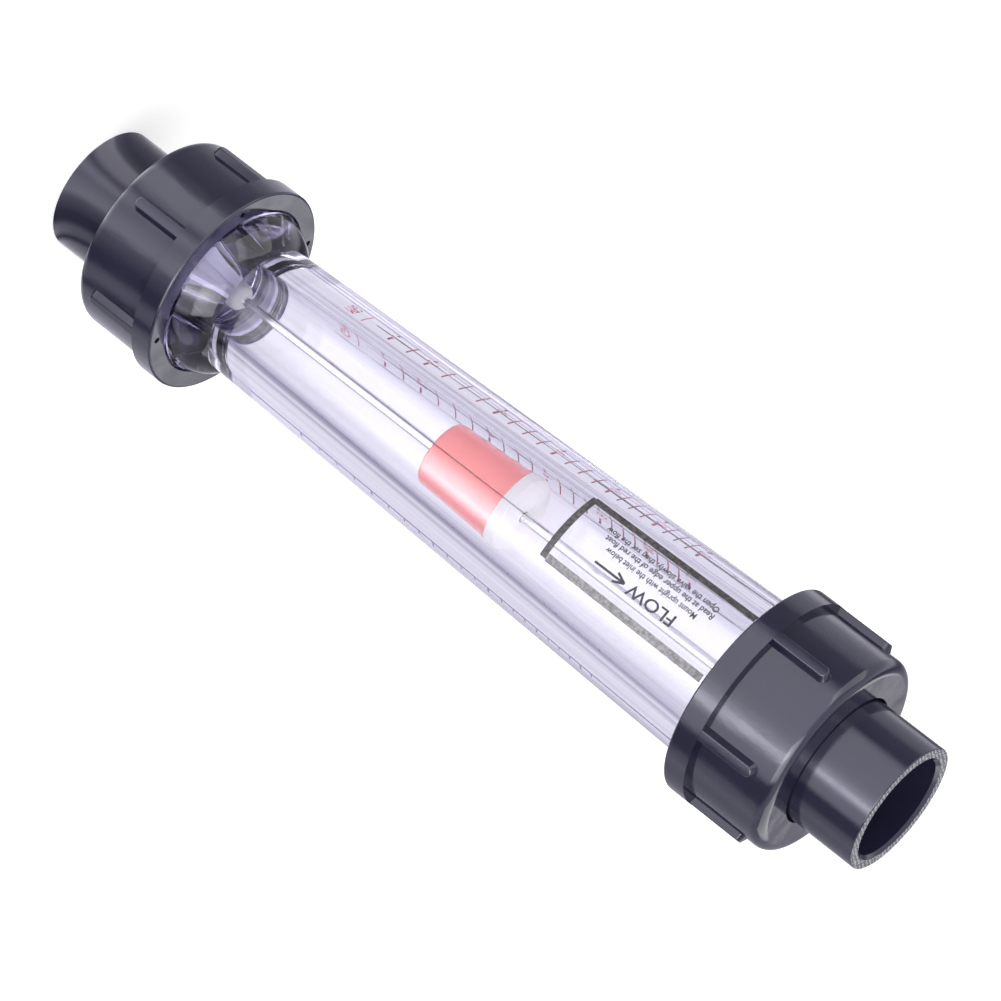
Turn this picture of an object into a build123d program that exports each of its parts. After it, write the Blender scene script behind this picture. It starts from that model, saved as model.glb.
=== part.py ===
from build123d import *
from math import radians, tan
import os

# Plastic-tube flow meter (rotameter) with a union at each end, for a 32 mm pressure pipe.
# It stands upright on the end face of its lower pipe socket. The flow rises along +Z.
# All sizes are millimetres. The axis of the meter is the Z axis, and z = 0 is that end face.
# Angles are degrees about Z, measured from the front (-Y) towards +X.

# Whole meter
overall_length = 310.0

# Pipe sockets, which are the outer ends of the two connectors
pipe_diameter = 32.0
pipe_clearance = 0.05
socket_depth = 22.0
socket_wall = 4.1
socket_mouth_chamfer = 1.0
socket_edge_round = 0.4
passage_radius = 12.5
socket_reach = 22.3
collar_step = 1.3
collar_thickness = 6.2

# Sealing rings, squeezed into a groove in each collar
seal_width = 3.8
seal_height = 2.6
seal_groove_clearance = 0.1

# Union nuts
nut_length = 32.9
nut_web = 4.9
nut_wall = 4.2
nut_shoulder_round = 3.4
nut_hole_clearance = 0.75
nut_ring_height = 2.2
nut_ring_width = 7.4
nut_ring_round = 0.7
nut_mouth_widening = 0.5
nut_mouth_chamfer_depth = 1.0
rib_count = 6
rib_width = 5.0
rib_side_draft = 24.0
rib_edge_round = 0.4
rib_root_depth = 1.0
rib_start = 6.2
rib_recess = 0.1
pin_hole_count = 4
pin_hole_radius = 1.0
pin_hole_depth = 3.0
pin_hole_offset_angle = -31.0
lower_nut_angle = 6.8
upper_nut_angle = -16.2

# Clear metering tube
thread_radius = 27.3
thread_clearance = 0.3
thread_end_chamfer = 0.8
lower_dome_length = 10.5
lower_dome_bulge = 1.1
upper_dome_length = 3.0
tube_lower_radius = 20.6
tube_upper_step = 1.5
bore_lower_radius = 11.2
bore_upper_radius = 17.7
guide_seat_radius = 20.5
guide_seat_depth = 8.6

# Rod guides, one in a seat at each end of the tube
guide_clearance = 0.05
guide_flange_thickness = 4.0
guide_opening_radius = 10.5
guide_vane_count = 4
guide_vane_thickness = 1.6
guide_vane_radius = 9.2
guide_vane_height = 13.0
guide_hub_radius = 3.4
guide_hub_length = 19.0
guide_hub_back = 0.5

# Guide rod, its nuts and washers, and the two stops that end the travel of the float
rod_radius = 1.5
rod_hole_clearance = 0.03
rod_end_length = 0.8
rod_washer_radius = 3.0
rod_washer_thickness = 0.5
rod_nut_height = 2.4
rod_nut_across_flats = 5.5
rod_nut_chamfer = 0.3
stop_radius = 4.2
stop_length = 5.0
stop_nose_round = 2.0

# Float. Its place is the one that it has on the rod in the photograph.
float_base_height = 141.0
float_sleeve_length = 28.0
float_rim_height = 3.5
float_rim_radius = 12.1
float_rim_round = 0.5
float_base_radius = 10.4
float_flare_length = 3.0
float_flare_width = 0.6
float_base_round = 2.0
float_core_radius = 8.8
float_bore_radius = 2.5
float_slide_clearance = 0.3
float_bush_radius = 3.6
float_bush_length = 8.0
float_bush_nose = 2.0
float_fit_clearance = 0.02

# Values that follow from the sizes above
pipe_bore_radius = pipe_diameter / 2 + pipe_clearance
collar_radius = thread_radius - collar_step
seal_radius = (guide_seat_radius + thread_radius - thread_end_chamfer) / 2
tube_upper_radius = thread_radius - tube_upper_step
socket_radius = pipe_bore_radius + socket_wall
nut_hole_radius = socket_radius + nut_hole_clearance
collar_start = socket_reach + nut_web
tube_end = collar_start + collar_thickness
tube_top = overall_length - tube_end
nut_mouth = socket_reach + nut_length
nut_bore_radius = thread_radius + thread_clearance
nut_mouth_radius = nut_bore_radius + nut_mouth_widening
nut_body_radius = nut_bore_radius + nut_wall
nut_ring_radius = nut_body_radius + nut_ring_height
pin_hole_circle_radius = (nut_mouth_radius + nut_ring_radius) / 2
lower_guide_seat = tube_end + guide_seat_depth
hub_face = lower_guide_seat - guide_flange_thickness + guide_hub_length
hub_back_face = lower_guide_seat - guide_flange_thickness - guide_hub_back
upper_guide_seat = overall_length - lower_guide_seat
rod_nut_face = hub_back_face - rod_washer_thickness
rod_start = rod_nut_face - rod_nut_height - rod_end_length
rod_bore_radius = rod_radius + rod_hole_clearance


def turned(points):
    """Solid made by turning a closed outline of (radius, height) points about Z."""
    with BuildPart() as solid:
        with BuildSketch(Plane.XZ):
            with BuildLine():
                Polyline(*points, close=True)
            make_face()
        revolve(axis=Axis.Z)
    return solid.part


def at_angle(solid, angle):
    """Turn a solid that was made facing the front to its angle about Z."""
    return Rot(0, 0, angle) * solid


def at_top(solid):
    """Turn a piece of the lower end over, to become the same piece of the upper end."""
    return Pos(0, 0, overall_length) * Rot(180, 0, 0) * solid


def rounded_outline(points, rounds):
    """Closed sketch of (radius, height) points, with a radius at each corner listed by number."""
    outline = make_face(Polyline(*points, close=True))
    for corner, radius in rounds.items():
        place = Vector(*points[corner])
        vertex = outline.vertices().sort_by_distance(place)[0]
        outline = fillet(vertex, radius)
    return outline


def turned_sketch(outline):
    """Solid made by turning a sketch of radius and height about Z."""
    return revolve(Plane.XZ * outline, axis=Axis.Z)


def connector():
    """Pipe socket with the collar that the union nut pulls against the tube."""
    groove_inner = seal_radius - seal_width / 2 - seal_groove_clearance
    groove_outer = seal_radius + seal_width / 2 + seal_groove_clearance
    groove_floor = tube_end - seal_height
    points = [
        (pipe_bore_radius + socket_mouth_chamfer, 0),
        (socket_radius, 0),
        (socket_radius, collar_start),
        (collar_radius, collar_start),
        (collar_radius, tube_end),
        (groove_outer, tube_end),
        (groove_outer, groove_floor),
        (groove_inner, groove_floor),
        (groove_inner, tube_end),
        (passage_radius, tube_end),
        (passage_radius, socket_depth),
        (pipe_bore_radius, socket_depth),
        (pipe_bore_radius, socket_mouth_chamfer),
    ]
    return turned_sketch(rounded_outline(points, {1: socket_edge_round, 3: socket_edge_round}))


def seal_ring():
    """Rubber ring as it lies squeezed in its groove, with rounded sides and flat faces."""
    section = RectangleRounded(seal_width, seal_height, seal_height / 2 - 0.05)
    return turned_sketch(Pos(seal_radius, tube_end - seal_height / 2) * section)


def nut_rib():
    """One grip rib, facing the front, a hair lower than the ring, with sloping sides and a round end."""
    rib_end = socket_reach + rib_start
    root_radius = nut_body_radius - rib_root_depth
    root_width = rib_width + 2 * rib_root_depth * tan(radians(rib_side_draft))
    length = nut_mouth - nut_ring_width / 2 - rib_end + root_width / 2
    outline = Pos(0, rib_end + length / 2) * SlotOverall(length, root_width, rotation=90)
    rib_height = 1.5 * (nut_ring_radius - root_radius)
    block = extrude(Plane.XZ.offset(root_radius) * outline, rib_height, taper=rib_side_draft)
    rib_radius = nut_ring_radius - rib_recess
    block &= Cylinder(rib_radius, overall_length, align=(Align.CENTER, Align.CENTER, Align.MIN))
    top_face = block.faces().filter_by(GeomType.CYLINDER).sort_by(Axis.Y)[0]
    return fillet(top_face.edges(), rib_edge_round)


def union_nut(angle):
    """Union nut: web round the socket, ribbed body, and the ring at its mouth with four pin holes."""
    ring_start = nut_mouth - nut_ring_width
    points = [
        (nut_hole_radius, socket_reach),
        (nut_body_radius, socket_reach),
        (nut_body_radius, ring_start),
        (nut_ring_radius, ring_start),
        (nut_ring_radius, nut_mouth),
        (nut_mouth_radius, nut_mouth),
        (nut_bore_radius, nut_mouth - nut_mouth_chamfer_depth),
        (nut_bore_radius, collar_start),
        (nut_hole_radius, collar_start),
    ]
    nut = turned_sketch(rounded_outline(points, {1: nut_shoulder_round, 4: nut_ring_round}))
    rib = nut_rib()
    for number in range(rib_count):
        nut += at_angle(rib, number * 360 / rib_count)
    hole = Cylinder(pin_hole_radius, pin_hole_depth, align=(Align.CENTER, Align.CENTER, Align.MAX))
    hole = Pos(0, -pin_hole_circle_radius, nut_mouth) * hole
    for number in range(pin_hole_count):
        nut -= at_angle(hole, pin_hole_offset_angle + number * 360 / pin_hole_count)
    return at_angle(nut, angle)


def tube_radius(height):
    """Outer radius of the clear tube between its two threaded heads."""
    share = (height - nut_mouth) / (overall_length - 2 * nut_mouth)
    return tube_lower_radius + share * (tube_upper_radius - tube_lower_radius)


def bore_radius(height):
    """Radius of the tapered bore, which widens upwards."""
    share = (height - nut_mouth) / (overall_length - 2 * nut_mouth)
    return bore_lower_radius + share * (bore_upper_radius - bore_lower_radius)


def metering_tube():
    """Clear tube: tapered inside and out, with a threaded head and a guide seat at each end."""
    lower_dome_end = nut_mouth + lower_dome_length
    upper_mouth = overall_length - nut_mouth
    upper_dome_start = upper_mouth - upper_dome_length
    lower_neck = tube_radius(lower_dome_end)
    upper_neck = tube_radius(upper_dome_start)
    with BuildPart() as tube:
        with BuildSketch(Plane.XZ):
            with BuildLine():
                Polyline(
                    (guide_seat_radius, tube_end),
                    (thread_radius - thread_end_chamfer, tube_end),
                    (thread_radius, tube_end + thread_end_chamfer),
                    (thread_radius, nut_mouth),
                )
                SagittaArc((lower_neck, lower_dome_end), (thread_radius, nut_mouth), lower_dome_bulge)
                Line((lower_neck, lower_dome_end), (upper_neck, upper_dome_start))
                EllipticalCenterArc(
                    (upper_neck, upper_mouth), thread_radius - upper_neck, upper_dome_length, 270, arc_size=90
                )
                Polyline(
                    (thread_radius, upper_mouth),
                    (thread_radius, tube_top - thread_end_chamfer),
                    (thread_radius - thread_end_chamfer, tube_top),
                    (guide_seat_radius, tube_top),
                    (guide_seat_radius, upper_guide_seat),
                    (bore_radius(upper_guide_seat), upper_guide_seat),
                    (bore_radius(lower_guide_seat), lower_guide_seat),
                    (guide_seat_radius, lower_guide_seat),
                    (guide_seat_radius, tube_end),
                )
            make_face()
        revolve(axis=Axis.Z)
    return tube.part


def rod_guide():
    """White guide: a flange in the seat of the tube, and a hub for the rod held by four vanes."""
    flange_base = lower_guide_seat - guide_flange_thickness
    flange_radius = guide_seat_radius - guide_clearance
    upright = (Align.CENTER, Align.CENTER, Align.MIN)
    guide = Cylinder(flange_radius, guide_flange_thickness, align=upright)
    guide -= Cylinder(guide_opening_radius, guide_flange_thickness, align=upright)
    hub_height = guide_hub_length + guide_hub_back
    guide += Pos(0, 0, -guide_hub_back) * Cylinder(guide_hub_radius, hub_height, align=upright)
    inside = guide_hub_radius / 2
    vane_outline = make_face(
        Polyline(
            (inside, 0),
            (guide_opening_radius + 0.5, 0),
            (guide_opening_radius + 0.5, guide_flange_thickness),
            (guide_vane_radius, guide_flange_thickness),
            (guide_hub_radius, guide_vane_height),
            (inside, guide_vane_height),
            close=True,
        )
    )
    vane = extrude(Plane.XZ * vane_outline, guide_vane_thickness / 2, both=True)
    for number in range(guide_vane_count):
        guide += Rot(0, 0, (number + 0.5) * 360 / guide_vane_count) * vane
    bore = Cylinder(rod_bore_radius, 3 * hub_height)
    guide -= bore
    return Pos(0, 0, flange_base) * guide


def guide_rod():
    """Steel rod that runs through both guides and the float."""
    length = overall_length - 2 * rod_start
    rod = Cylinder(rod_radius, length, align=(Align.CENTER, Align.CENTER, Align.MIN))
    rod = chamfer(rod.edges().filter_by(GeomType.CIRCLE), rod_radius / 5)
    return Pos(0, 0, rod_start) * rod


def rod_nut():
    """Small hexagon nut that draws a guide into its seat."""
    flats = RegularPolygon(rod_nut_across_flats / 2, 6, major_radius=False)
    nut = extrude(flats, rod_nut_height)
    corner_radius = rod_nut_across_flats / 3 ** 0.5
    rounding = Cylinder(corner_radius, rod_nut_height, align=(Align.CENTER, Align.CENTER, Align.MIN))
    rounding = chamfer(rounding.edges().filter_by(GeomType.CIRCLE), rod_nut_chamfer)
    nut &= rounding
    nut -= Cylinder(rod_bore_radius, 3 * rod_nut_height)
    return Pos(0, 0, rod_nut_face - rod_nut_height) * nut


def rod_washer():
    """Plain washer between the nut and the hub of the guide."""
    upright = (Align.CENTER, Align.CENTER, Align.MIN)
    washer = Cylinder(rod_washer_radius, rod_washer_thickness, align=upright)
    washer -= Cylinder(rod_bore_radius, 3 * rod_washer_thickness)
    return Pos(0, 0, rod_nut_face) * washer


def stop_bush():
    """Round-nosed bush on the rod, against the hub of the guide."""
    points = [
        (rod_bore_radius, hub_face),
        (stop_radius, hub_face),
        (stop_radius, hub_face + stop_length),
        (rod_bore_radius, hub_face + stop_length),
    ]
    return turned_sketch(rounded_outline(points, {2: stop_nose_round}))


def float_body():
    """White core of the float, with the rim on top whose upper edge is read against the scale."""
    rim_start = float_base_height + float_sleeve_length
    top = rim_start + float_rim_height
    seat_radius = float_bush_radius + float_fit_clearance
    seat_depth = float_bush_length - float_bush_nose
    points = [
        (seat_radius, float_base_height),
        (float_core_radius, float_base_height),
        (float_core_radius, rim_start),
        (float_rim_radius, rim_start),
        (float_rim_radius, top),
        (seat_radius, top),
        (seat_radius, top - seat_depth),
        (float_bore_radius, top - seat_depth),
        (float_bore_radius, float_base_height + seat_depth),
        (seat_radius, float_base_height + seat_depth),
    ]
    return turned_sketch(rounded_outline(points, {4: float_rim_round}))


def float_sleeve():
    """Red sleeve on the core, which widens a little upwards and flares out to the rim."""
    inside = float_core_radius + float_fit_clearance
    rim_start = float_base_height + float_sleeve_length
    points = [
        (inside, float_base_height),
        (float_base_radius, float_base_height),
        (float_rim_radius - float_flare_width, rim_start - float_flare_length),
        (float_rim_radius, rim_start),
        (inside, rim_start),
    ]
    round_radius = min(float_base_round, 0.9 * (float_base_radius - inside))
    return turned_sketch(rounded_outline(points, {1: round_radius}))


def float_bush(base, length):
    """Slide bush of the float, which runs along the rod."""
    bush = [
        (rod_radius + float_slide_clearance, base),
        (float_bush_radius, base),
        (float_bush_radius, base + length),
        (rod_radius + float_slide_clearance, base + length),
    ]
    return turned(bush)


def build():
    """All pieces by node name."""
    float_top = float_base_height + float_sleeve_length + float_rim_height
    seated_length = float_bush_length - float_bush_nose
    lower = {
        "connector": connector(),
        "o_ring": seal_ring(),
        "rod_guide": rod_guide(),
        "rod_nut": rod_nut(),
        "rod_washer": rod_washer(),
        "stop_bush": stop_bush(),
    }
    pieces = {"lower_" + name: solid for name, solid in lower.items()}
    pieces.update({"upper_" + name: at_top(solid) for name, solid in lower.items()})
    pieces["lower_union_nut"] = union_nut(lower_nut_angle)
    pieces["upper_union_nut"] = at_top(union_nut(180 - upper_nut_angle))
    pieces["metering_tube"] = metering_tube()
    pieces["guide_rod"] = guide_rod()
    pieces["float_body"] = float_body()
    pieces["float_sleeve"] = float_sleeve()
    pieces["float_lower_bush"] = float_bush(float_base_height - float_bush_nose, float_bush_length)
    pieces["float_upper_bush"] = float_bush(float_top - seated_length, seated_length)
    return pieces


os.makedirs("parts", exist_ok=True)
for node, solid in build().items():
    export_step(solid, "parts/" + node + ".step")
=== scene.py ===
import math

import bmesh
import bpy
from mathutils import Matrix, Vector


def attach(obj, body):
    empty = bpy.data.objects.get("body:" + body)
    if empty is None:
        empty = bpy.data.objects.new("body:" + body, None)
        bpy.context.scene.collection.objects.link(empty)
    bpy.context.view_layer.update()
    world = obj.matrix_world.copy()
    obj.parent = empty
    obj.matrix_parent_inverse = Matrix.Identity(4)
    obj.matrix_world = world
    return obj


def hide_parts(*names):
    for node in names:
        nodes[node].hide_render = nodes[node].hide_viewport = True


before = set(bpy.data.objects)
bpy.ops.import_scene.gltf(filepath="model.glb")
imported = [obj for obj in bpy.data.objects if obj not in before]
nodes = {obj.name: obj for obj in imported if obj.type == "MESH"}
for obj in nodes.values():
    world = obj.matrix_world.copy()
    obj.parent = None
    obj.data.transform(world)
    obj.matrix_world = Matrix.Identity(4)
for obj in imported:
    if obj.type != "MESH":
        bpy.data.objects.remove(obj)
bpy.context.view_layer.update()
MM = 0.001

# Sizes of the CAD model that the pieces here are built on, in millimetres.
LENGTH = 310.0
COLLAR_START = 27.2
TUBE_END = 33.4
MOUTH = 55.2
THREAD_RADIUS = 27.3
THREAD_PITCH = 4.0
THREAD_DEPTH = 1.4
END_CHAMFER = 0.8
LOWER_DOME = 10.5
LOWER_BULGE = 1.1
UPPER_DOME = 3.0
TUBE_LOWER = 20.6
TUBE_UPPER = 25.8
BORE_LOWER = 11.2
BORE_UPPER = 17.7
GUIDE_SEAT_RADIUS = 20.5
GUIDE_SEAT = 42.0
FACE_GAP = 0.06
NUT_BORE = 27.6
NUT_CHAMFER = 1.0
FRONT = -math.pi / 2

# Threads: (width, flat) shares of a pitch, how deep the nut's ridge reaches, and the run-out.
TUBE_GROOVE = (0.72, 0.28)
NUT_RIDGE = (0.54, 0.14)
NUT_RIDGE_DEPTH = 1.2
THREAD_FADE = 1.5
NUT_THREAD_START = COLLAR_START + 7.0

# Segments round the turned shapes.
TUBE_SEGMENTS = 224
NUT_SEGMENTS = 160


def tube_radius(z):
    share = (z - MOUTH) / (LENGTH - 2 * MOUTH)
    return TUBE_LOWER + share * (TUBE_UPPER - TUBE_LOWER)


def bore_radius(z):
    share = (z - MOUTH) / (LENGTH - 2 * MOUTH)
    return BORE_LOWER + share * (BORE_UPPER - BORE_LOWER)


# The camera that took the photograph.
FRAME_PIXELS = 1001
FOCAL_PIXELS = 4438.66
SENSOR = 36


def make_camera():
    data = bpy.data.cameras.new("camera")
    data.lens = FOCAL_PIXELS * SENSOR / FRAME_PIXELS
    data.sensor_width = SENSOR
    data.clip_start = 0.05
    data.clip_end = 20
    camera = bpy.data.objects.new("camera", data)
    bpy.context.scene.collection.objects.link(camera)
    right = Vector((-0.667906, 0.157452, 0.7274))
    up = Vector((-0.713494, -0.413509, -0.56563))
    back = Vector((0.211727, -0.896783, 0.388526))
    place = Vector((265.455, -1122.952, 649.06)) * MM
    turn = Matrix((right, up, back)).transposed().to_4x4()
    camera.matrix_world = Matrix.Translation(place) @ turn
    bpy.context.scene.camera = camera


# Materials.

# Radius in metres beyond which a point lies on the tube's outside, and depth of a sawn end face.
OUTSIDE_FROM = 0.019
END_FACE_DEPTH = 0.00005


class Shader:
    """A material's node tree, with short ways to add and join nodes."""

    def __init__(self, name, world=False):
        library = bpy.data.worlds if world else bpy.data.materials
        self.material = library.new(name)
        self.material.use_nodes = True
        self.tree = self.material.node_tree
        self.tree.nodes.clear()
        self.output = self.add("ShaderNodeOutputWorld" if world else "ShaderNodeOutputMaterial")

    def add(self, kind, inputs=None, **values):
        node = self.tree.nodes.new(kind)
        for key, value in values.items():
            setattr(node, key, value)
        for key, value in (inputs or {}).items():
            self.put(node, key, value)
        return node

    def put(self, node, key, value):
        if isinstance(value, bpy.types.NodeSocket):
            self.tree.links.new(value, node.inputs[key])
        else:
            node.inputs[key].default_value = value

    def finish(self, surface):
        self.tree.links.new(surface, self.output.inputs["Surface"])
        return self.material

    def place(self):
        return self.add("ShaderNodeTexCoord").outputs["Object"]

    def stretched(self, scale):
        mapping = self.add("ShaderNodeMapping", {"Vector": self.place(), "Scale": scale})
        return mapping.outputs["Vector"]

    def split(self, vector):
        parts = self.add("ShaderNodeSeparateXYZ", {"Vector": vector}).outputs
        return parts["X"], parts["Y"], parts["Z"]

    def join(self, x, y, z):
        return self.add("ShaderNodeCombineXYZ", {"X": x, "Y": y, "Z": z}).outputs["Vector"]

    def along(self, lengthwise):
        """Direction from the Z axis, and height times lengthwise, for streaks along the tube."""
        x, y, z = self.split(self.place())
        flat = self.add("ShaderNodeVectorMath", {0: self.join(x, y, 0.0)}, operation="NORMALIZE")
        x, y, _ = self.split(flat.outputs["Vector"])
        return self.join(x, y, self.math("MULTIPLY", z, lengthwise))

    def noise(self, vector, scale, detail=4.0, roughness=0.5):
        node = self.add("ShaderNodeTexNoise", {"Vector": vector, "Scale": scale, "Detail": detail,
                                              "Roughness": roughness})
        return node.outputs["Fac"]

    def ramp(self, value, stops):
        node = self.add("ShaderNodeValToRGB", {"Fac": value})
        elements = node.color_ramp.elements
        while len(elements) < len(stops):
            elements.new(0.5)
        for element, (position, colour) in zip(elements, stops):
            element.position = position
            element.color = (*colour, 1)
        return node.outputs["Color"]

    def range(self, value, low, high, to_low, to_high):
        node = self.add("ShaderNodeMapRange", {"Value": value, "From Min": low, "From Max": high,
                                              "To Min": to_low, "To Max": to_high})
        return node.outputs["Result"]

    def math(self, operation, first, second=0.0):
        node = self.add("ShaderNodeMath", {0: first, 1: second}, operation=operation)
        return node.outputs["Value"]

    def mix(self, factor, first, second):
        node = self.add("ShaderNodeMix", data_type="RGBA")
        self.put(node, 0, factor)
        for key, value in ((6, first), (7, second)):
            self.put(node, key, value if isinstance(value, bpy.types.NodeSocket) else (*value, 1))
        return node.outputs[2]

    def bump(self, height, strength, distance, normal=None):
        node = self.add("ShaderNodeBump", {"Height": height, "Strength": strength,
                                           "Distance": distance})
        if normal is not None:
            self.put(node, "Normal", normal)
        return node.outputs["Normal"]

    def principled(self, **inputs):
        names = {key.replace("_", " "): value for key, value in inputs.items()}
        node = self.add("ShaderNodeBsdfPrincipled")
        for key, value in names.items():
            socket = [s for s in node.inputs if s.name.lower() == key.lower()][0]
            if isinstance(value, bpy.types.NodeSocket):
                self.tree.links.new(value, socket)
            else:
                socket.default_value = value
        return node.outputs["BSDF"]


def moulded_plastic(name, dark, light, roughness):
    """Glossy moulded plastic: faint flow clouds, dulled patches and an orange-peel skin."""
    s = Shader(name)
    clouds = s.noise(s.stretched((1, 1, 0.4)), 38.0, 5.0, 0.55)
    colour = s.ramp(clouds, [(0.3, dark), (0.7, light)])
    worn = s.noise(s.place(), 120.0, 6.0, 0.6)
    rough = s.range(worn, 0.35, 0.7, roughness - 0.05, roughness + 0.09)
    skin = s.noise(s.place(), 900.0, 2.0, 0.5)
    turned = s.split(s.add("ShaderNodeTexCoord").outputs["Normal"])[2]
    outside = s.range(s.math("ABSOLUTE", turned), 0.2, 0.6, 1.0, 0.0)
    waves = s.math("MULTIPLY", s.noise(s.along(14.0), 5.0, 3.0, 0.5), outside)
    normal = s.bump(waves, 0.14, 0.0008, s.bump(skin, 0.05, 0.0001))
    return s.finish(s.principled(Base_Color=colour, Roughness=rough, IOR=1.52, Normal=normal))


def socket_plastic(name, dark, light, end_z):
    """Dark plastic of a pipe socket, with a pale saw-marked and speckled end face."""
    s = Shader(name)
    clouds = s.noise(s.stretched((1, 1, 0.4)), 42.0, 5.0, 0.55)
    body = s.ramp(clouds, [(0.3, dark), (0.7, light)])
    specks = s.noise(s.place(), 1500.0, 3.0, 0.8)
    saw = s.add("ShaderNodeTexWave", {"Vector": s.place(), "Scale": 260.0, "Distortion": 6.0,
                                      "Detail": 3.0, "Detail Scale": 3.0}).outputs["Fac"]
    marks = s.math("ADD", s.math("MULTIPLY", specks, 0.75), s.math("MULTIPLY", saw, 0.25))
    sawn = s.ramp(marks, [(0.47, (0.03, 0.033, 0.045)), (0.66, (0.40, 0.41, 0.45))])
    height = s.split(s.place())[2]
    depth = s.math("ABSOLUTE", s.math("SUBTRACT", height, end_z))
    near = s.math("LESS_THAN", depth, END_FACE_DEPTH)
    colour = s.mix(near, body, sawn)
    worn = s.noise(s.place(), 140.0, 6.0, 0.6)
    rough = s.math("ADD", s.range(worn, 0.35, 0.7, 0.09, 0.2), s.math("MULTIPLY", near, 0.4))
    skin = s.noise(s.place(), 1100.0, 2.0, 0.5)
    rough_face = s.math("MULTIPLY", marks, s.math("MULTIPLY", near, 3.0))
    normal = s.bump(s.math("ADD", skin, rough_face), 0.08, 0.00012)
    return s.finish(s.principled(Base_Color=colour, Roughness=rough, IOR=1.52, Normal=normal))


def plain_plastic(name, colour, shade, roughness, scale=160.0, subsurface=0.0, coat=0.0):
    s = Shader(name)
    clouds = s.noise(s.place(), scale, 4.0, 0.6)
    tint = s.ramp(clouds, [(0.35, shade), (0.65, colour)])
    worn = s.noise(s.place(), 350.0, 4.0, 0.6)
    rough = s.range(worn, 0.3, 0.7, roughness - 0.05, roughness + 0.07)
    normal = s.bump(s.noise(s.stretched((1, 1, 3)), 700.0, 2.0, 0.5), 0.05, 0.0001)
    return s.finish(s.principled(Base_Color=tint, Roughness=rough, IOR=1.48, Normal=normal,
                                 Coat_Weight=coat, Coat_IOR=1.95,
                                 Subsurface_Weight=subsurface, Subsurface_Scale=0.002))


def ground_steel(name):
    s = Shader(name)
    fine = s.noise(s.stretched((1, 1, 0.05)), 2200.0, 3.0, 0.6)
    colour = s.ramp(fine, [(0.3, (0.74, 0.74, 0.77)), (0.7, (0.86, 0.86, 0.88))])
    rough = s.range(fine, 0.3, 0.7, 0.14, 0.28)
    normal = s.bump(fine, 0.08, 0.00005)
    return s.finish(s.principled(Base_Color=colour, Metallic=1.0, Roughness=rough, Normal=normal))


def clear_plastic(name):
    """Clear moulded plastic: violet tint, draw lines along it, painted shade that darkens the draw
    lines towards the silhouettes, and swirls at the lower neck.

    Matt surfaces and shadows see straight through it, so that light reaches what is inside.
    """
    s = Shader(name)
    x, y, z = s.split(s.place())
    radius = s.math("SQRT", s.math("ADD", s.math("MULTIPLY", x, x), s.math("MULTIPLY", y, y)))
    outside = s.math("GREATER_THAN", radius, OUTSIDE_FROM)
    streaks = s.noise(s.along(0.15), 30.0, 3.0, 0.6)
    waves = s.math("MULTIPLY", s.noise(s.along(1.0), 3.5, 1.0, 0.5), outside)
    neck = MOUTH + LOWER_DOME
    at_neck = s.range(z, (neck + 1) * MM, (neck - 1) * MM, 0.0, 1.0)
    flow = s.add("ShaderNodeTexNoise", {"Vector": s.place(), "Scale": 60.0, "Detail": 0.5,
                                        "Distortion": 0.8}).outputs["Fac"]
    swirls = s.math("MULTIPLY", s.math("MULTIPLY", flow, at_neck), outside)
    drawn = s.bump(s.math("MULTIPLY", streaks, outside), 0.06, 0.00012)
    normal = s.bump(waves, 0.03, 0.0006, drawn)
    normal = s.bump(swirls, 0.35, 0.0006, normal)
    rough = s.range(s.noise(s.place(), 300.0, 4.0, 0.6), 0.4, 0.7, 0.0, 0.008)
    # Painted shade: the draw lines turn a darker violet where the surface turns away from view,
    # towards the silhouettes.
    edge = s.add("ShaderNodeLayerWeight", {"Blend": 0.5}).outputs["Facing"]
    draw_lines_and_edge_shade = s.math("MULTIPLY", s.math("POWER", edge, 1.3), s.range(streaks, 0.45, 0.55, 0.0, 1.0))
    tint = s.mix(draw_lines_and_edge_shade, (0.972, 0.970, 0.990), (0.62, 0.57, 0.80))
    tint = s.mix(at_neck, tint, (0.78, 0.72, 0.985))
    glass = s.principled(Base_Color=tint, Roughness=rough, IOR=1.50, Transmission_Weight=1.0,
                         Normal=normal)
    through = s.add("ShaderNodeBsdfTransparent", {"Color": (0.97, 0.97, 0.99, 1)}).outputs["BSDF"]
    path = s.add("ShaderNodeLightPath")
    unseen = s.math("MAXIMUM", path.outputs["Is Shadow Ray"], path.outputs["Is Diffuse Ray"])
    mixed = s.add("ShaderNodeMixShader", {0: unseen, 1: glass, 2: through}).outputs["Shader"]
    return s.finish(mixed)


def ink(name, colour, shade, alpha=1.0, grain=900.0):
    """Print on the tube, a little worn, and the painted refraction lines along it."""
    s = Shader(name)
    worn = s.noise(s.place(), grain, 5.0, 0.7)
    tint = s.ramp(worn, [(0.35, shade), (0.6, colour)])
    rough = s.range(worn, 0.3, 0.7, 0.35, 0.5)
    return s.finish(s.principled(Base_Color=tint, Roughness=rough, IOR=1.45, Alpha=alpha))


# Meshes.

def add_piece(name, mesh, material, body, smooth_angle=None):
    piece = bpy.data.objects.new(name, mesh)
    bpy.context.scene.collection.objects.link(piece)
    mesh.materials.append(material)
    if smooth_angle is not None:
        mesh.shade_smooth()
        mesh.set_sharp_from_angle(angle=math.radians(smooth_angle))
    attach(piece, body)
    return piece


def lathe(name, profile, segments, shape=None):
    """Closed mesh turned from a closed (radius, height) outline in mm. shape may move points."""
    verts = []
    for radius, height in profile:
        for step in range(segments):
            angle = 2 * math.pi * step / segments
            r = shape(radius, height, angle) if shape else radius
            verts.append((r * math.cos(angle) * MM, r * math.sin(angle) * MM, height * MM))
    faces = []
    count = len(profile)
    for row in range(count):
        following = (row + 1) % count
        for step in range(segments):
            beside = (step + 1) % segments
            faces.append((row * segments + step, row * segments + beside,
                          following * segments + beside, following * segments + step))
    mesh = bpy.data.meshes.new(name)
    mesh.from_pydata(verts, [], faces)
    work = bmesh.new()
    work.from_mesh(mesh)
    bmesh.ops.recalc_face_normals(work, faces=work.faces)
    work.to_mesh(mesh)
    work.free()
    return mesh


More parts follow.
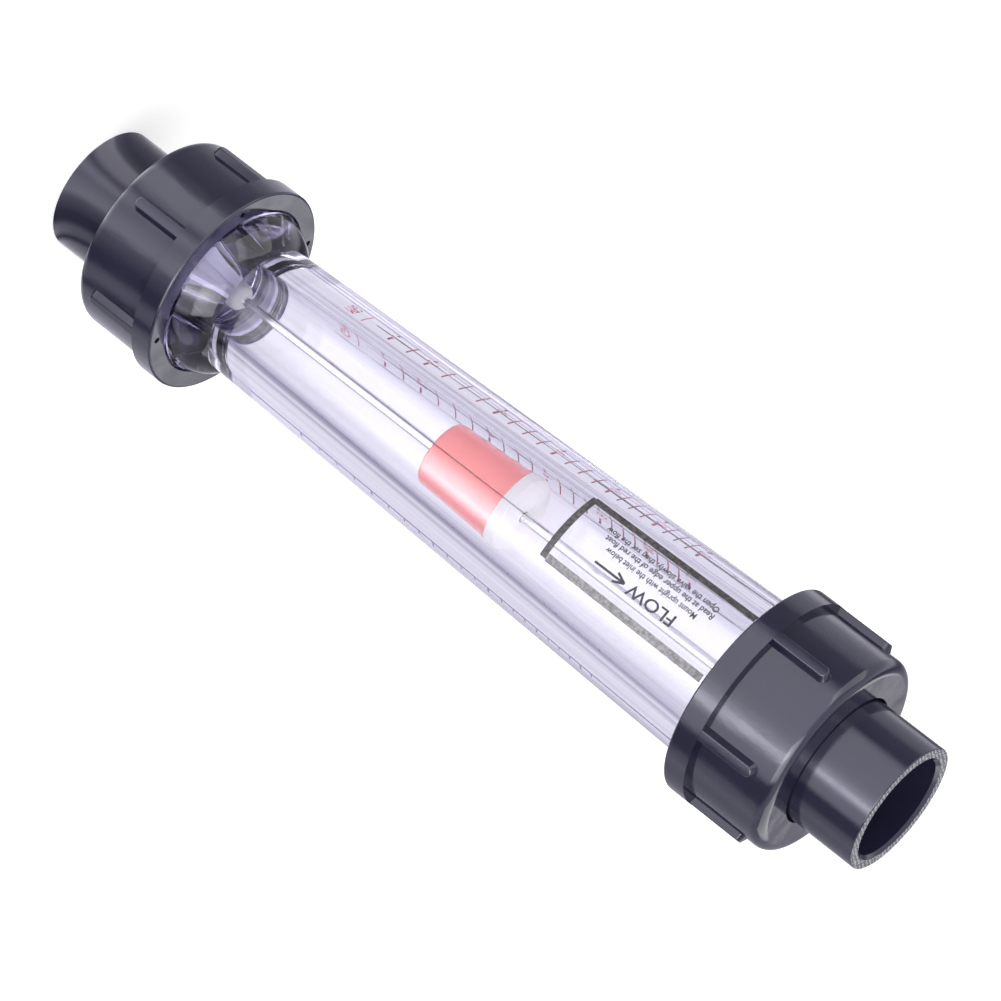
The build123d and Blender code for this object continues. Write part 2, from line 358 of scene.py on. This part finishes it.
def steps(first, last, count):
    return [first + (last - first) * i / count for i in range(count + 1)]


def bulged(start, end, bulge, count):
    """Points of the circle arc from start to end that bulges outwards by that much."""
    dx, dy = end[0] - start[0], end[1] - start[1]
    chord = math.hypot(dx, dy)
    radius = (chord * chord / 4 + bulge * bulge) / (2 * bulge)
    out = (dy / chord, -dx / chord)
    middle = ((start[0] + end[0]) / 2, (start[1] + end[1]) / 2)
    half = math.asin(chord / 2 / radius)
    points = []
    for turn in steps(-half, half, count):
        side = radius * math.sin(turn) / chord
        rise = radius * math.cos(turn) - (radius - bulge)
        points.append((middle[0] + dx * side + out[0] * rise,
                       middle[1] + dy * side + out[1] * rise))
    return points


def thread_share(height, angle, start, end, wide, flat):
    """How far a point lies into the thread's groove: 0 at its edges to 1 on its floor."""
    turn = (height / THREAD_PITCH - angle / (2 * math.pi)) % 1.0
    wave = abs(turn - 0.5) * 2
    cut = min(1.0, max(0.0, (wide - wave) / (wide - flat)))
    fade = min(1.0, (height - start) / THREAD_FADE, (end - height) / THREAD_FADE)
    return cut * max(0.0, fade)


def make_tube(material):
    lower_end = MOUTH + LOWER_DOME
    upper_start = LENGTH - MOUTH - UPPER_DOME
    low_end, low_seat = TUBE_END + FACE_GAP, GUIDE_SEAT + FACE_GAP
    profile = [(GUIDE_SEAT_RADIUS, low_end), (THREAD_RADIUS - END_CHAMFER, low_end)]
    profile += [(THREAD_RADIUS, z) for z in steps(TUBE_END + END_CHAMFER, MOUTH, 96)]
    neck_start = (tube_radius(lower_end), lower_end)
    profile += bulged((THREAD_RADIUS, MOUTH), neck_start, LOWER_BULGE, 24)[1:]
    profile += [(tube_radius(z), z) for z in steps(lower_end, upper_start, 40)[1:]]
    neck = tube_radius(upper_start)
    for t in steps(math.pi / 2, 0, 10)[1:]:
        profile.append((neck + (THREAD_RADIUS - neck) * (1 - math.sin(t)),
                        LENGTH - MOUTH - UPPER_DOME * (1 - math.cos(t))))
    upper_head = steps(LENGTH - MOUTH, LENGTH - TUBE_END - END_CHAMFER, 96)
    profile += [(THREAD_RADIUS, z) for z in upper_head[1:]]
    profile += [(THREAD_RADIUS - END_CHAMFER, LENGTH - low_end)]
    profile += [(GUIDE_SEAT_RADIUS, LENGTH - low_end)]
    profile += [(GUIDE_SEAT_RADIUS, LENGTH - low_seat)]
    profile += [(bore_radius(z), z) for z in steps(LENGTH - low_seat, low_seat, 40)]
    profile += [(GUIDE_SEAT_RADIUS, low_seat)]

    def threaded(radius, height, angle):
        if abs(radius - THREAD_RADIUS) > 0.01:
            return radius
        low = thread_share(height, angle, TUBE_END + 0.5, MOUTH - 1.2, *TUBE_GROOVE)
        high = thread_share(height, angle, LENGTH - MOUTH + 1.2, LENGTH - TUBE_END - 0.5,
                            *TUBE_GROOVE)
        return radius - THREAD_DEPTH * max(low, high)

    mesh = lathe("clear_tube", profile, TUBE_SEGMENTS, threaded)
    tube = add_piece("clear_tube", mesh, material, "tube", 35)
    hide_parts("metering_tube")


def make_nut_thread(name, low, high, material, body):
    """The thread inside a union nut, which runs in the groove of the tube's thread."""
    root = NUT_BORE - 0.05
    buried = NUT_BORE + 0.3

    def ridged(radius, height, angle):
        if radius > NUT_BORE:
            return radius
        return radius - NUT_RIDGE_DEPTH * thread_share(height, angle, low, high, *NUT_RIDGE)

    profile = [(buried, low)] + [(root, z) for z in steps(low, high, 84)] + [(buried, high)]
    mesh = lathe(name, profile, NUT_SEGMENTS, ridged)
    add_piece(name, mesh, material, body, 35)


# Print on the tube. Angles are degrees about Z from the front (-Y) towards +X.

def on_tube(angle, z, lift):
    r = tube_radius(z) + lift
    turn = FRONT + math.radians(angle)
    return (r * math.cos(turn) * MM, r * math.sin(turn) * MM, z * MM)


class Print:
    """Thin marks that follow the tube's outside."""

    def __init__(self, lift=0.02, thickness=0.04):
        self.verts = []
        self.faces = []
        self.lift = lift
        self.thickness = thickness

    def strip(self, path, width):
        """A band of that width in mm along (angle, height) points."""
        start = len(self.verts)
        for i, (angle, z) in enumerate(path):
            before, after = path[max(0, i - 1)], path[min(len(path) - 1, i + 1)]
            radius = tube_radius(z)
            across = math.radians(after[0] - before[0]) * radius
            rise = after[1] - before[1]
            length = math.hypot(across, rise)
            side, up = -rise / length * width / 2, across / length * width / 2
            for sign in (-1, 1):
                turned = angle + sign * math.degrees(side / radius)
                self.verts.append(on_tube(turned, z + sign * up, self.lift))
        for i in range(len(path) - 1):
            k = start + 2 * i
            self.faces.append((k, k + 1, k + 3, k + 2))

    def tick(self, first, last, z, width):
        count = max(2, int(abs(last - first) / 3.0))
        self.strip([(angle, z) for angle in steps(first, last, count)], width)

    def line(self, points, width):
        """A band through a few (angle, height) points, cut short enough to lie on the tube."""
        path = []
        for (a0, z0), (a1, z1) in zip(points, points[1:]):
            count = max(1, int(abs(z1 - z0) / 8.0), int(abs(a1 - a0) / 3.0))
            path += [(a0 + (a1 - a0) * i / count, z0 + (z1 - z0) * i / count) for i in range(count)]
        self.strip(path + [points[-1]], width)

    def text(self, words, angle, z, size, turn=0.0, width=1.0, weight=0.0):
        curve = bpy.data.curves.new("words", "FONT")
        curve.body = words
        curve.size = size
        curve.resolution_u = 3
        curve.offset = weight * size
        curve.align_x = "CENTER"
        curve.align_y = "CENTER"
        holder = bpy.data.objects.new("words", curve)
        bpy.context.scene.collection.objects.link(holder)
        bpy.context.view_layer.update()
        graph = bpy.context.evaluated_depsgraph_get()
        flat = bpy.data.meshes.new_from_object(holder.evaluated_get(graph))
        start = len(self.verts)
        cos, sin = math.cos(math.radians(turn)), math.sin(math.radians(turn))
        for v in flat.vertices:
            x, y = v.co.x * width, v.co.y
            across, rise = x * cos - y * sin, x * sin + y * cos
            radius = tube_radius(z)
            turned = angle + math.degrees(across / radius)
            self.verts.append(on_tube(turned, z + rise, self.lift))
        for p in flat.polygons:
            self.faces.append(tuple(start + i for i in p.vertices))
        bpy.data.objects.remove(holder)
        bpy.data.curves.remove(curve)
        bpy.data.meshes.remove(flat)

    def piece(self, name, material):
        mesh = bpy.data.meshes.new(name)
        mesh.from_pydata(self.verts, [], self.faces)
        work = bmesh.new()
        work.from_mesh(mesh)
        bmesh.ops.remove_doubles(work, verts=work.verts, dist=1e-6)
        bmesh.ops.recalc_face_normals(work, faces=work.faces)
        for face in work.faces:
            centre = face.calc_center_median()
            if face.normal.dot(Vector((centre.x, centre.y, 0))) < 0:
                face.normal_flip()
        bmesh.ops.solidify(work, geom=work.faces, thickness=-self.thickness * MM)
        work.to_mesh(mesh)
        work.free()
        add_piece(name, mesh, material, "tube")


# Height in mm of each mark of the first scale, by the value it stands for.
MARKS = {1: 103.8, 1.5: 111.0, 2: 117.7, 2.5: 124.5, 3: 131.2, 3.5: 137.7, 4: 144.1, 4.5: 149.7,
         5: 155.2, 5.5: 160.5, 6: 165.8, 6.5: 171.0, 7: 176.0, 7.5: 181.0, 8: 185.9, 10: 203.1,
         12: 218.8}
NUMBERED = (1, 2, 4, 6, 8, 10, 12)
LITRES_PER_GALLON = 3.785


def mark_height(value):
    keys = sorted(MARKS)
    low = max([k for k in keys if k <= value] or keys[:1])
    high = min([k for k in keys if k > low] or keys[-1:])
    if low == high:
        low = keys[-2]
    share = (value - low) / (high - low)
    return MARKS[low] + share * (MARKS[high] - MARKS[low])


def make_scales(dark, red, grey, white, violet, pink):
    fine = Print()
    bold = Print()
    numbers = Print()
    for half in range(2, 25):
        value = half / 2
        z = mark_height(value)
        if value in NUMBERED:
            bold.tick(-84.0, -96.5, z, 0.8)
            bold.tick(-110.0, -119.7, z, 0.8)
            numbers.text(str(int(value)), -103.0, z + 0.4, 5.4)
        else:
            fine.tick(-83.5, -119.2, z, 0.5)
    numbers.text("GPM", -101.0, 88.0, 5.6)
    numbers.tick(-84, -118, 93.5, 0.35)
    numbers.text("+", -98.5, 230.4, 3.0)
    fine.piece("scale_marks_fine", dark)
    bold.piece("scale_marks_bold", dark)
    numbers.piece("scale_numbers", red)
    spine = Print(0.07)
    spine.line([(-100.7, 97), (-100.7, 111), (-97.7, 150), (-95.2, 180)], 0.95)
    spine.line([(-95.2, 180), (-94.9, 215), (-94.7, 251)], 1.7)
    spine.piece("scale_spine", grey)
    edge = Print()
    edge.line([(-120.9, 84), (-120.9, 251)], 0.5)
    edge.piece("scale_edge", white)
    beside = Print()
    beside.line([(-122.6, 84), (-122.6, 251)], 0.35)
    beside.piece("scale_edge_shade", violet)
    limit = Print()
    limit.line([(-74.7, 84), (-74.7, 251)], 0.4)
    limit.piece("scale_limit", pink)

    second = Print()
    for litres in range(4, 47, 2):
        z = mark_height(litres / LITRES_PER_GALLON)
        main = litres % 8 == 4
        second.tick(78.5, 84.0 if main else 82.8, z, 0.7 if main else 0.5)
    second.line([(78.5, 84), (78.5, 251)], 0.6)
    second.piece("second_scale_marks", violet)


def make_panel(frame_ink, pale_band_ink, text_ink):
    """A framed block with plain working notes, read from the right, and an arrow for the flow."""
    left, right, low, high = -27.2, 24.6, 192.6, 251.4
    border = Print()
    border.tick(left - 1.6, right + 1.6, low, 2.1)
    border.line([(left, low), (left, high)], 2.3)
    border.piece("panel_frame", frame_ink)
    # The frame's right band is printed a paler grey than the rest of the frame.
    pale_band = Print()
    pale_band.line([(right, low + 1.05), (right, high)], 2.5)
    pale_band.piece("panel_frame_pale_band", pale_band_ink)
    notes = Print(0.03)
    notes.text("FLOW", 7.6, 227.0, 5.2, -90, 1.15, 0.012)
    notes.tick(7.2, 8.0, 214.0, 0.4)
    notes.line([(7.6, 206.0), (7.6, 216.5)], 0.7)
    notes.line([(4.2, 213.5), (7.6, 217.0)], 0.7)
    notes.line([(11.0, 213.5), (7.6, 217.0)], 0.7)
    notes.text("Mount upright with the inlet below", -3.2, 222.6, 2.7, -90, 0.86, 0.014)
    notes.text("Read at the upper edge of the red float", -9.7, 223.2, 2.7, -90, 0.92, 0.014)
    notes.text("Open the valve slowly, then set the flow", -15.5, 222.2, 2.7, -90, 0.92, 0.014)
    notes.piece("panel_notes", text_ink)


# Studio. The levels by direction below are fixed in the room.

# Direction, in degrees about Z from +X, from which the photograph was taken.
CAMERA_SIDE = -76.7

# Brightness seen through glass, by degrees round from the camera's side. The first values came
# from colours read off the photograph. They were then changed.
SEEN_THROUGH = [
    (-180, (0.85, 0.835, 0.95)), (-168, (0.81, 0.795, 0.90)), (-160, (0.76, 0.745, 0.86)),
    (-142, (0.79, 0.775, 0.89)), (-134, (0.70, 0.685, 0.80)), (-128, (0.54, 0.52, 0.66)),
    (-122, (0.80, 0.78, 0.90)), (-113, (0.56, 0.54, 0.68)), (-105, (0.85, 0.83, 0.95)),
    (-94, (0.50, 0.48, 0.62)), (-78, (0.60, 0.58, 0.72)), (-40, (1.1, 1.08, 1.18)),
    (0, (1.5, 1.48, 1.6)), (14, (2.3, 2.27, 2.4)), (28, (3.3, 3.25, 3.4)),
    (56, (3.5, 3.45, 3.6)), (67, (2.4, 2.35, 2.5)), (78, (1.6, 1.57, 1.7)),
    (90, (0.40, 0.38, 0.52)), (104, (0.28, 0.26, 0.38)), (112, (0.40, 0.38, 0.50)),
    (121, (0.80, 0.78, 0.90)), (128, (0.50, 0.48, 0.62)), (136, (0.74, 0.725, 0.83)),
    (150, (0.79, 0.775, 0.89)), (162, (0.74, 0.725, 0.83)), (170, (0.83, 0.815, 0.92)),
    (180, (0.85, 0.835, 0.95)),
]
GLASS_PEAK = 4.0

# Brightness seen in gloss, by degrees round from the camera's side. The first values were worked
# out from brightness read off the photographed nuts and sockets. They were then changed.
SEEN_IN_GLOSS = [
    (-180, 0.65), (-168, 0.5), (-155, 0.15), (-149, 0.2), (-142, 1.2), (-136, 1.35), (-125, 1.0),
    (-100, 1.0), (-90, 0.4), (-62, 0.3),
    (-52, 2.2), (-46, 2.6), (0, 2.75), (10, 3.1),
    (18, 4.2), (24, 5.6), (28, 8.8), (32, 8.8), (37, 4.6), (42, 2.7), (57, 2.35), (64, 0.2),
    (84, 0.2), (92, 0.8), (105, 1.0), (120, 0.6), (140, 0.5), (165, 0.5), (180, 0.65),
]
# The same on the floor close to the meter, which shows in its lower end. Nearly all of these are
# the levels worked out from the photographed far nut, to within 0.1.
SEEN_NEAR = [
    (-180, 0.8), (-120, 1.0), (-88, 0.5), (-62, 0.4), (-50, 0.9), (-44, 2.8), (-27, 2.8),
    (-18, 1.0), (-9, 2.9), (0, 2.0), (12, 2.7), (19, 2.9), (26, 1.2), (35, 0.6), (44, 0.15),
    (54, 0.15), (62, 1.0), (70, 1.0), (79, 0.1), (88, 0.9), (120, 1.0), (180, 0.8),
]
NEAR_REACH = (0.18, 0.35)
GLOSS_PEAK = 9.0
# How far up the gloss cards reach, and the brightness above them.
OVERHEAD = (0.62, 0.85)
OVERHEAD_LEVEL = 1.2
GLOSS_TINT = (0.96, 0.94, 1.07)


def round_from_camera(s, x, y):
    """0 to 1 round the Z axis, with 0.5 on the camera's side."""
    angle = s.math("ARCTAN2", y, x)
    turned = s.math("SUBTRACT", angle, math.radians(CAMERA_SIDE))
    wrapped = s.math("WRAP", turned, math.pi)
    wrapped.node.inputs[2].default_value = -math.pi
    return s.math("ADD", s.math("DIVIDE", wrapped, 2 * math.pi), 0.5)


def gloss_colour(level):
    return tuple(level / GLOSS_PEAK * c for c in GLOSS_TINT)


def studio_cards(s, x, y):
    """Colours of the surroundings as glass shows them and as gloss shows them."""
    turn = round_from_camera(s, x, y)
    through = s.ramp(turn, [(degrees / 360 + 0.5, tuple(c / GLASS_PEAK for c in colour))
                            for degrees, colour in SEEN_THROUGH])
    far, near = [s.ramp(turn, [(degrees / 360 + 0.5, gloss_colour(level))
                               for degrees, level in levels])
                 for levels in (SEEN_IN_GLOSS, SEEN_NEAR)]
    return through, far, near


def make_floor():
    mesh = bpy.data.meshes.new("floor")
    mesh.from_pydata([(-6, -6, 0), (6, -6, 0), (6, 6, 0), (-6, 6, 0)], [], [(0, 1, 2, 3)])
    floor = bpy.data.objects.new("floor", mesh)
    bpy.context.scene.collection.objects.link(floor)
    s = Shader("floor_white")
    path = s.add("ShaderNodeLightPath").outputs
    x, y, _ = s.split(s.place())
    through, far, near = studio_cards(s, x, y)
    reach = s.math("SQRT", s.math("ADD", s.math("MULTIPLY", x, x), s.math("MULTIPLY", y, y)))
    gloss = s.mix(s.range(reach, *NEAR_REACH, 0.0, 1.0), near, far)
    matt = s.add("ShaderNodeBsdfDiffuse", {"Color": (0.8, 0.8, 0.8, 1)}).outputs["BSDF"]

    def card(colour, strength):
        return s.add("ShaderNodeEmission",
                     {"Color": colour, "Strength": strength}).outputs["Emission"]

    lift = s.math("MULTIPLY", path["Is Camera Ray"], 0.5)
    both = s.add("ShaderNodeAddShader", {0: matt, 1: card((1, 1, 1, 1), lift)}).outputs["Shader"]
    mixed = s.add("ShaderNodeMixShader", {0: path["Is Glossy Ray"], 1: both,
                                          2: card(gloss, GLOSS_PEAK)}).outputs["Shader"]
    mixed = s.add("ShaderNodeMixShader", {0: path["Is Transmission Ray"], 1: mixed,
                                          2: card(through, GLASS_PEAK)}).outputs["Shader"]
    mesh.materials.append(s.finish(mixed))


def make_world():
    s = Shader("studio", world=True)
    bpy.context.scene.world = s.material
    path = s.add("ShaderNodeLightPath").outputs
    x, y, z = s.split(s.add("ShaderNodeTexCoord").outputs["Generated"])
    through, gloss, _ = studio_cards(s, x, y)
    overhead = s.range(z, *OVERHEAD, 0.0, 1.0)
    gloss = s.mix(overhead, gloss, gloss_colour(OVERHEAD_LEVEL))

    def background(colour, strength):
        return s.add("ShaderNodeBackground",
                     {"Color": colour, "Strength": strength}).outputs["Background"]

    lit = s.add("ShaderNodeMixShader", {0: path["Is Camera Ray"], 1: background((1, 1, 1, 1), 0.45),
                                        2: background((1, 1, 1, 1), 1.0)}).outputs["Shader"]
    mixed = s.add("ShaderNodeMixShader", {0: path["Is Glossy Ray"], 1: lit,
                                          2: background(gloss, GLOSS_PEAK)}).outputs["Shader"]
    s.finish(s.add("ShaderNodeMixShader", {0: path["Is Transmission Ray"], 1: mixed,
                                           2: background(through, GLASS_PEAK)}).outputs["Shader"])


def area_light(name, place, aim, size, power):
    data = bpy.data.lights.new(name, "AREA")
    data.shape = "RECTANGLE"
    data.size, data.size_y = size
    data.energy = power
    lamp = bpy.data.objects.new(name, data)
    bpy.context.scene.collection.objects.link(lamp)
    lamp.location = place
    direction = Vector(aim) - Vector(place)
    lamp.rotation_euler = direction.to_track_quat("-Z", "Y").to_euler()


bpy.context.scene.view_settings.view_transform = "Standard"
make_camera()
make_world()
make_floor()
area_light("key", (1.1, -0.9, 1.5), (0, 0, 0.15), (1.5, 1.5), 22)
area_light("fill", (-1.3, -0.8, 0.9), (0, 0, 0.15), (1.5, 1.2), 10)
area_light("rim", (0.2, 1.2, 1.2), (0, 0, 0.2), (1.8, 0.9), 8)

NUT_DARK, NUT_LIGHT = (0.015, 0.015, 0.034), (0.022, 0.022, 0.050)
nut_material = moulded_plastic("nut_plastic", NUT_DARK, NUT_LIGHT, 0.11)
tube_material = clear_plastic("clear_plastic")
bush_plastic = plain_plastic("bush_plastic", (0.42, 0.42, 0.44), (0.36, 0.36, 0.38),
                             0.34, 120.0, 0.2)
white_plastic = plain_plastic("guide_plastic", (0.88, 0.88, 0.94), (0.82, 0.82, 0.88),
                              0.34, 120.0, 0.1)
float_white = plain_plastic("float_plastic", (0.80, 0.77, 0.81), (0.74, 0.71, 0.75),
                            0.30, 90.0, 0.2)
# The coat carries the float's broad highlight.
float_red = plain_plastic("sleeve_plastic", (0.98, 0.125, 0.10), (0.92, 0.11, 0.085),
                          0.22, 70.0, 0.05, coat=1.0)
steel = ground_steel("rod_steel")
seal = plain_plastic("seal_rubber", (0.02, 0.02, 0.02), (0.012, 0.012, 0.012), 0.55)
dark_ink = ink("dark_ink", (0.34, 0.01, 0.045), (0.46, 0.05, 0.11))
red_ink = ink("red_ink", (0.62, 0.03, 0.06), (0.72, 0.09, 0.13))
grey_ink = ink("grey_ink", (0.035, 0.037, 0.036), (0.06, 0.063, 0.062))
white_ink = ink("white_ink", (0.90, 0.90, 0.92), (0.82, 0.82, 0.85))
violet_ink = ink("violet_ink", (0.30, 0.22, 0.42), (0.42, 0.34, 0.55))
pink_ink = ink("pink_ink", (0.78, 0.58, 0.68), (0.84, 0.68, 0.76), 0.7)
frame_ink = ink("frame_ink", (0.035, 0.032, 0.032), (0.15, 0.14, 0.138), 1.0, 900.0)
pale_band_ink = ink("pale_band_ink", (0.19, 0.185, 0.19), (0.42, 0.41, 0.42), 1.0, 900.0)
text_ink = ink("text_ink", (0.02, 0.02, 0.025), (0.06, 0.06, 0.065))
# Paint for the violet refraction lines, painted along the tube as shade.
refraction_line_ink = ink("refraction_line_paint", (0.42, 0.34, 0.60), (0.52, 0.45, 0.68), 0.6)
draw_ink = ink("draw_mark", (0.02, 0.02, 0.03), (0.05, 0.045, 0.07), 0.30)

finishes = {
    "guide_rod": steel, "lower_rod_nut": steel, "upper_rod_nut": steel,
    "lower_rod_washer": steel, "upper_rod_washer": steel,
    "lower_rod_guide": white_plastic, "upper_rod_guide": white_plastic,
    "lower_stop_bush": bush_plastic, "upper_stop_bush": bush_plastic,
    "float_body": float_white, "float_lower_bush": float_white, "float_upper_bush": float_white,
    "float_sleeve": float_red,
    "lower_union_nut": nut_material, "upper_union_nut": nut_material,
    "lower_connector": socket_plastic("lower_socket_plastic", NUT_DARK, NUT_LIGHT, 0.0),
    "upper_connector": socket_plastic("upper_socket_plastic", NUT_DARK, NUT_LIGHT, LENGTH * MM),
    "lower_o_ring": seal, "upper_o_ring": seal,
}
for node, finish in finishes.items():
    mesh = nodes[node].data
    for index in range(len(mesh.materials)):
        nodes[node].material_slots[index].material = finish
    if not mesh.materials:
        mesh.materials.append(finish)

make_tube(tube_material)
make_nut_thread("lower_nut_thread", NUT_THREAD_START, MOUTH - NUT_CHAMFER, nut_material,
                "lower_nut")
make_nut_thread("upper_nut_thread", LENGTH - MOUTH + NUT_CHAMFER, LENGTH - NUT_THREAD_START,
                nut_material, "upper_nut")
make_scales(dark_ink, red_ink, grey_ink, white_ink, violet_ink, pink_ink)
make_panel(frame_ink, pale_band_ink, text_ink)
draw_marks = Print()
draw_marks.line([(11.2, 75), (11.2, 190)], 0.4)
draw_marks.piece("draw_marks", draw_ink)
# Painted shade: violet lines along the tube near its silhouette, which stand for refraction lines
# of the bore's edges. They are not print.
painted_refraction_lines = Print()
for turn, width in ((-46.0, 0.25), (-51.0, 0.3), (-57.5, 0.3)):
    painted_refraction_lines.line([(turn, 75), (turn, 250)], width)
painted_refraction_lines.piece("painted_refraction_lines", refraction_line_ink)
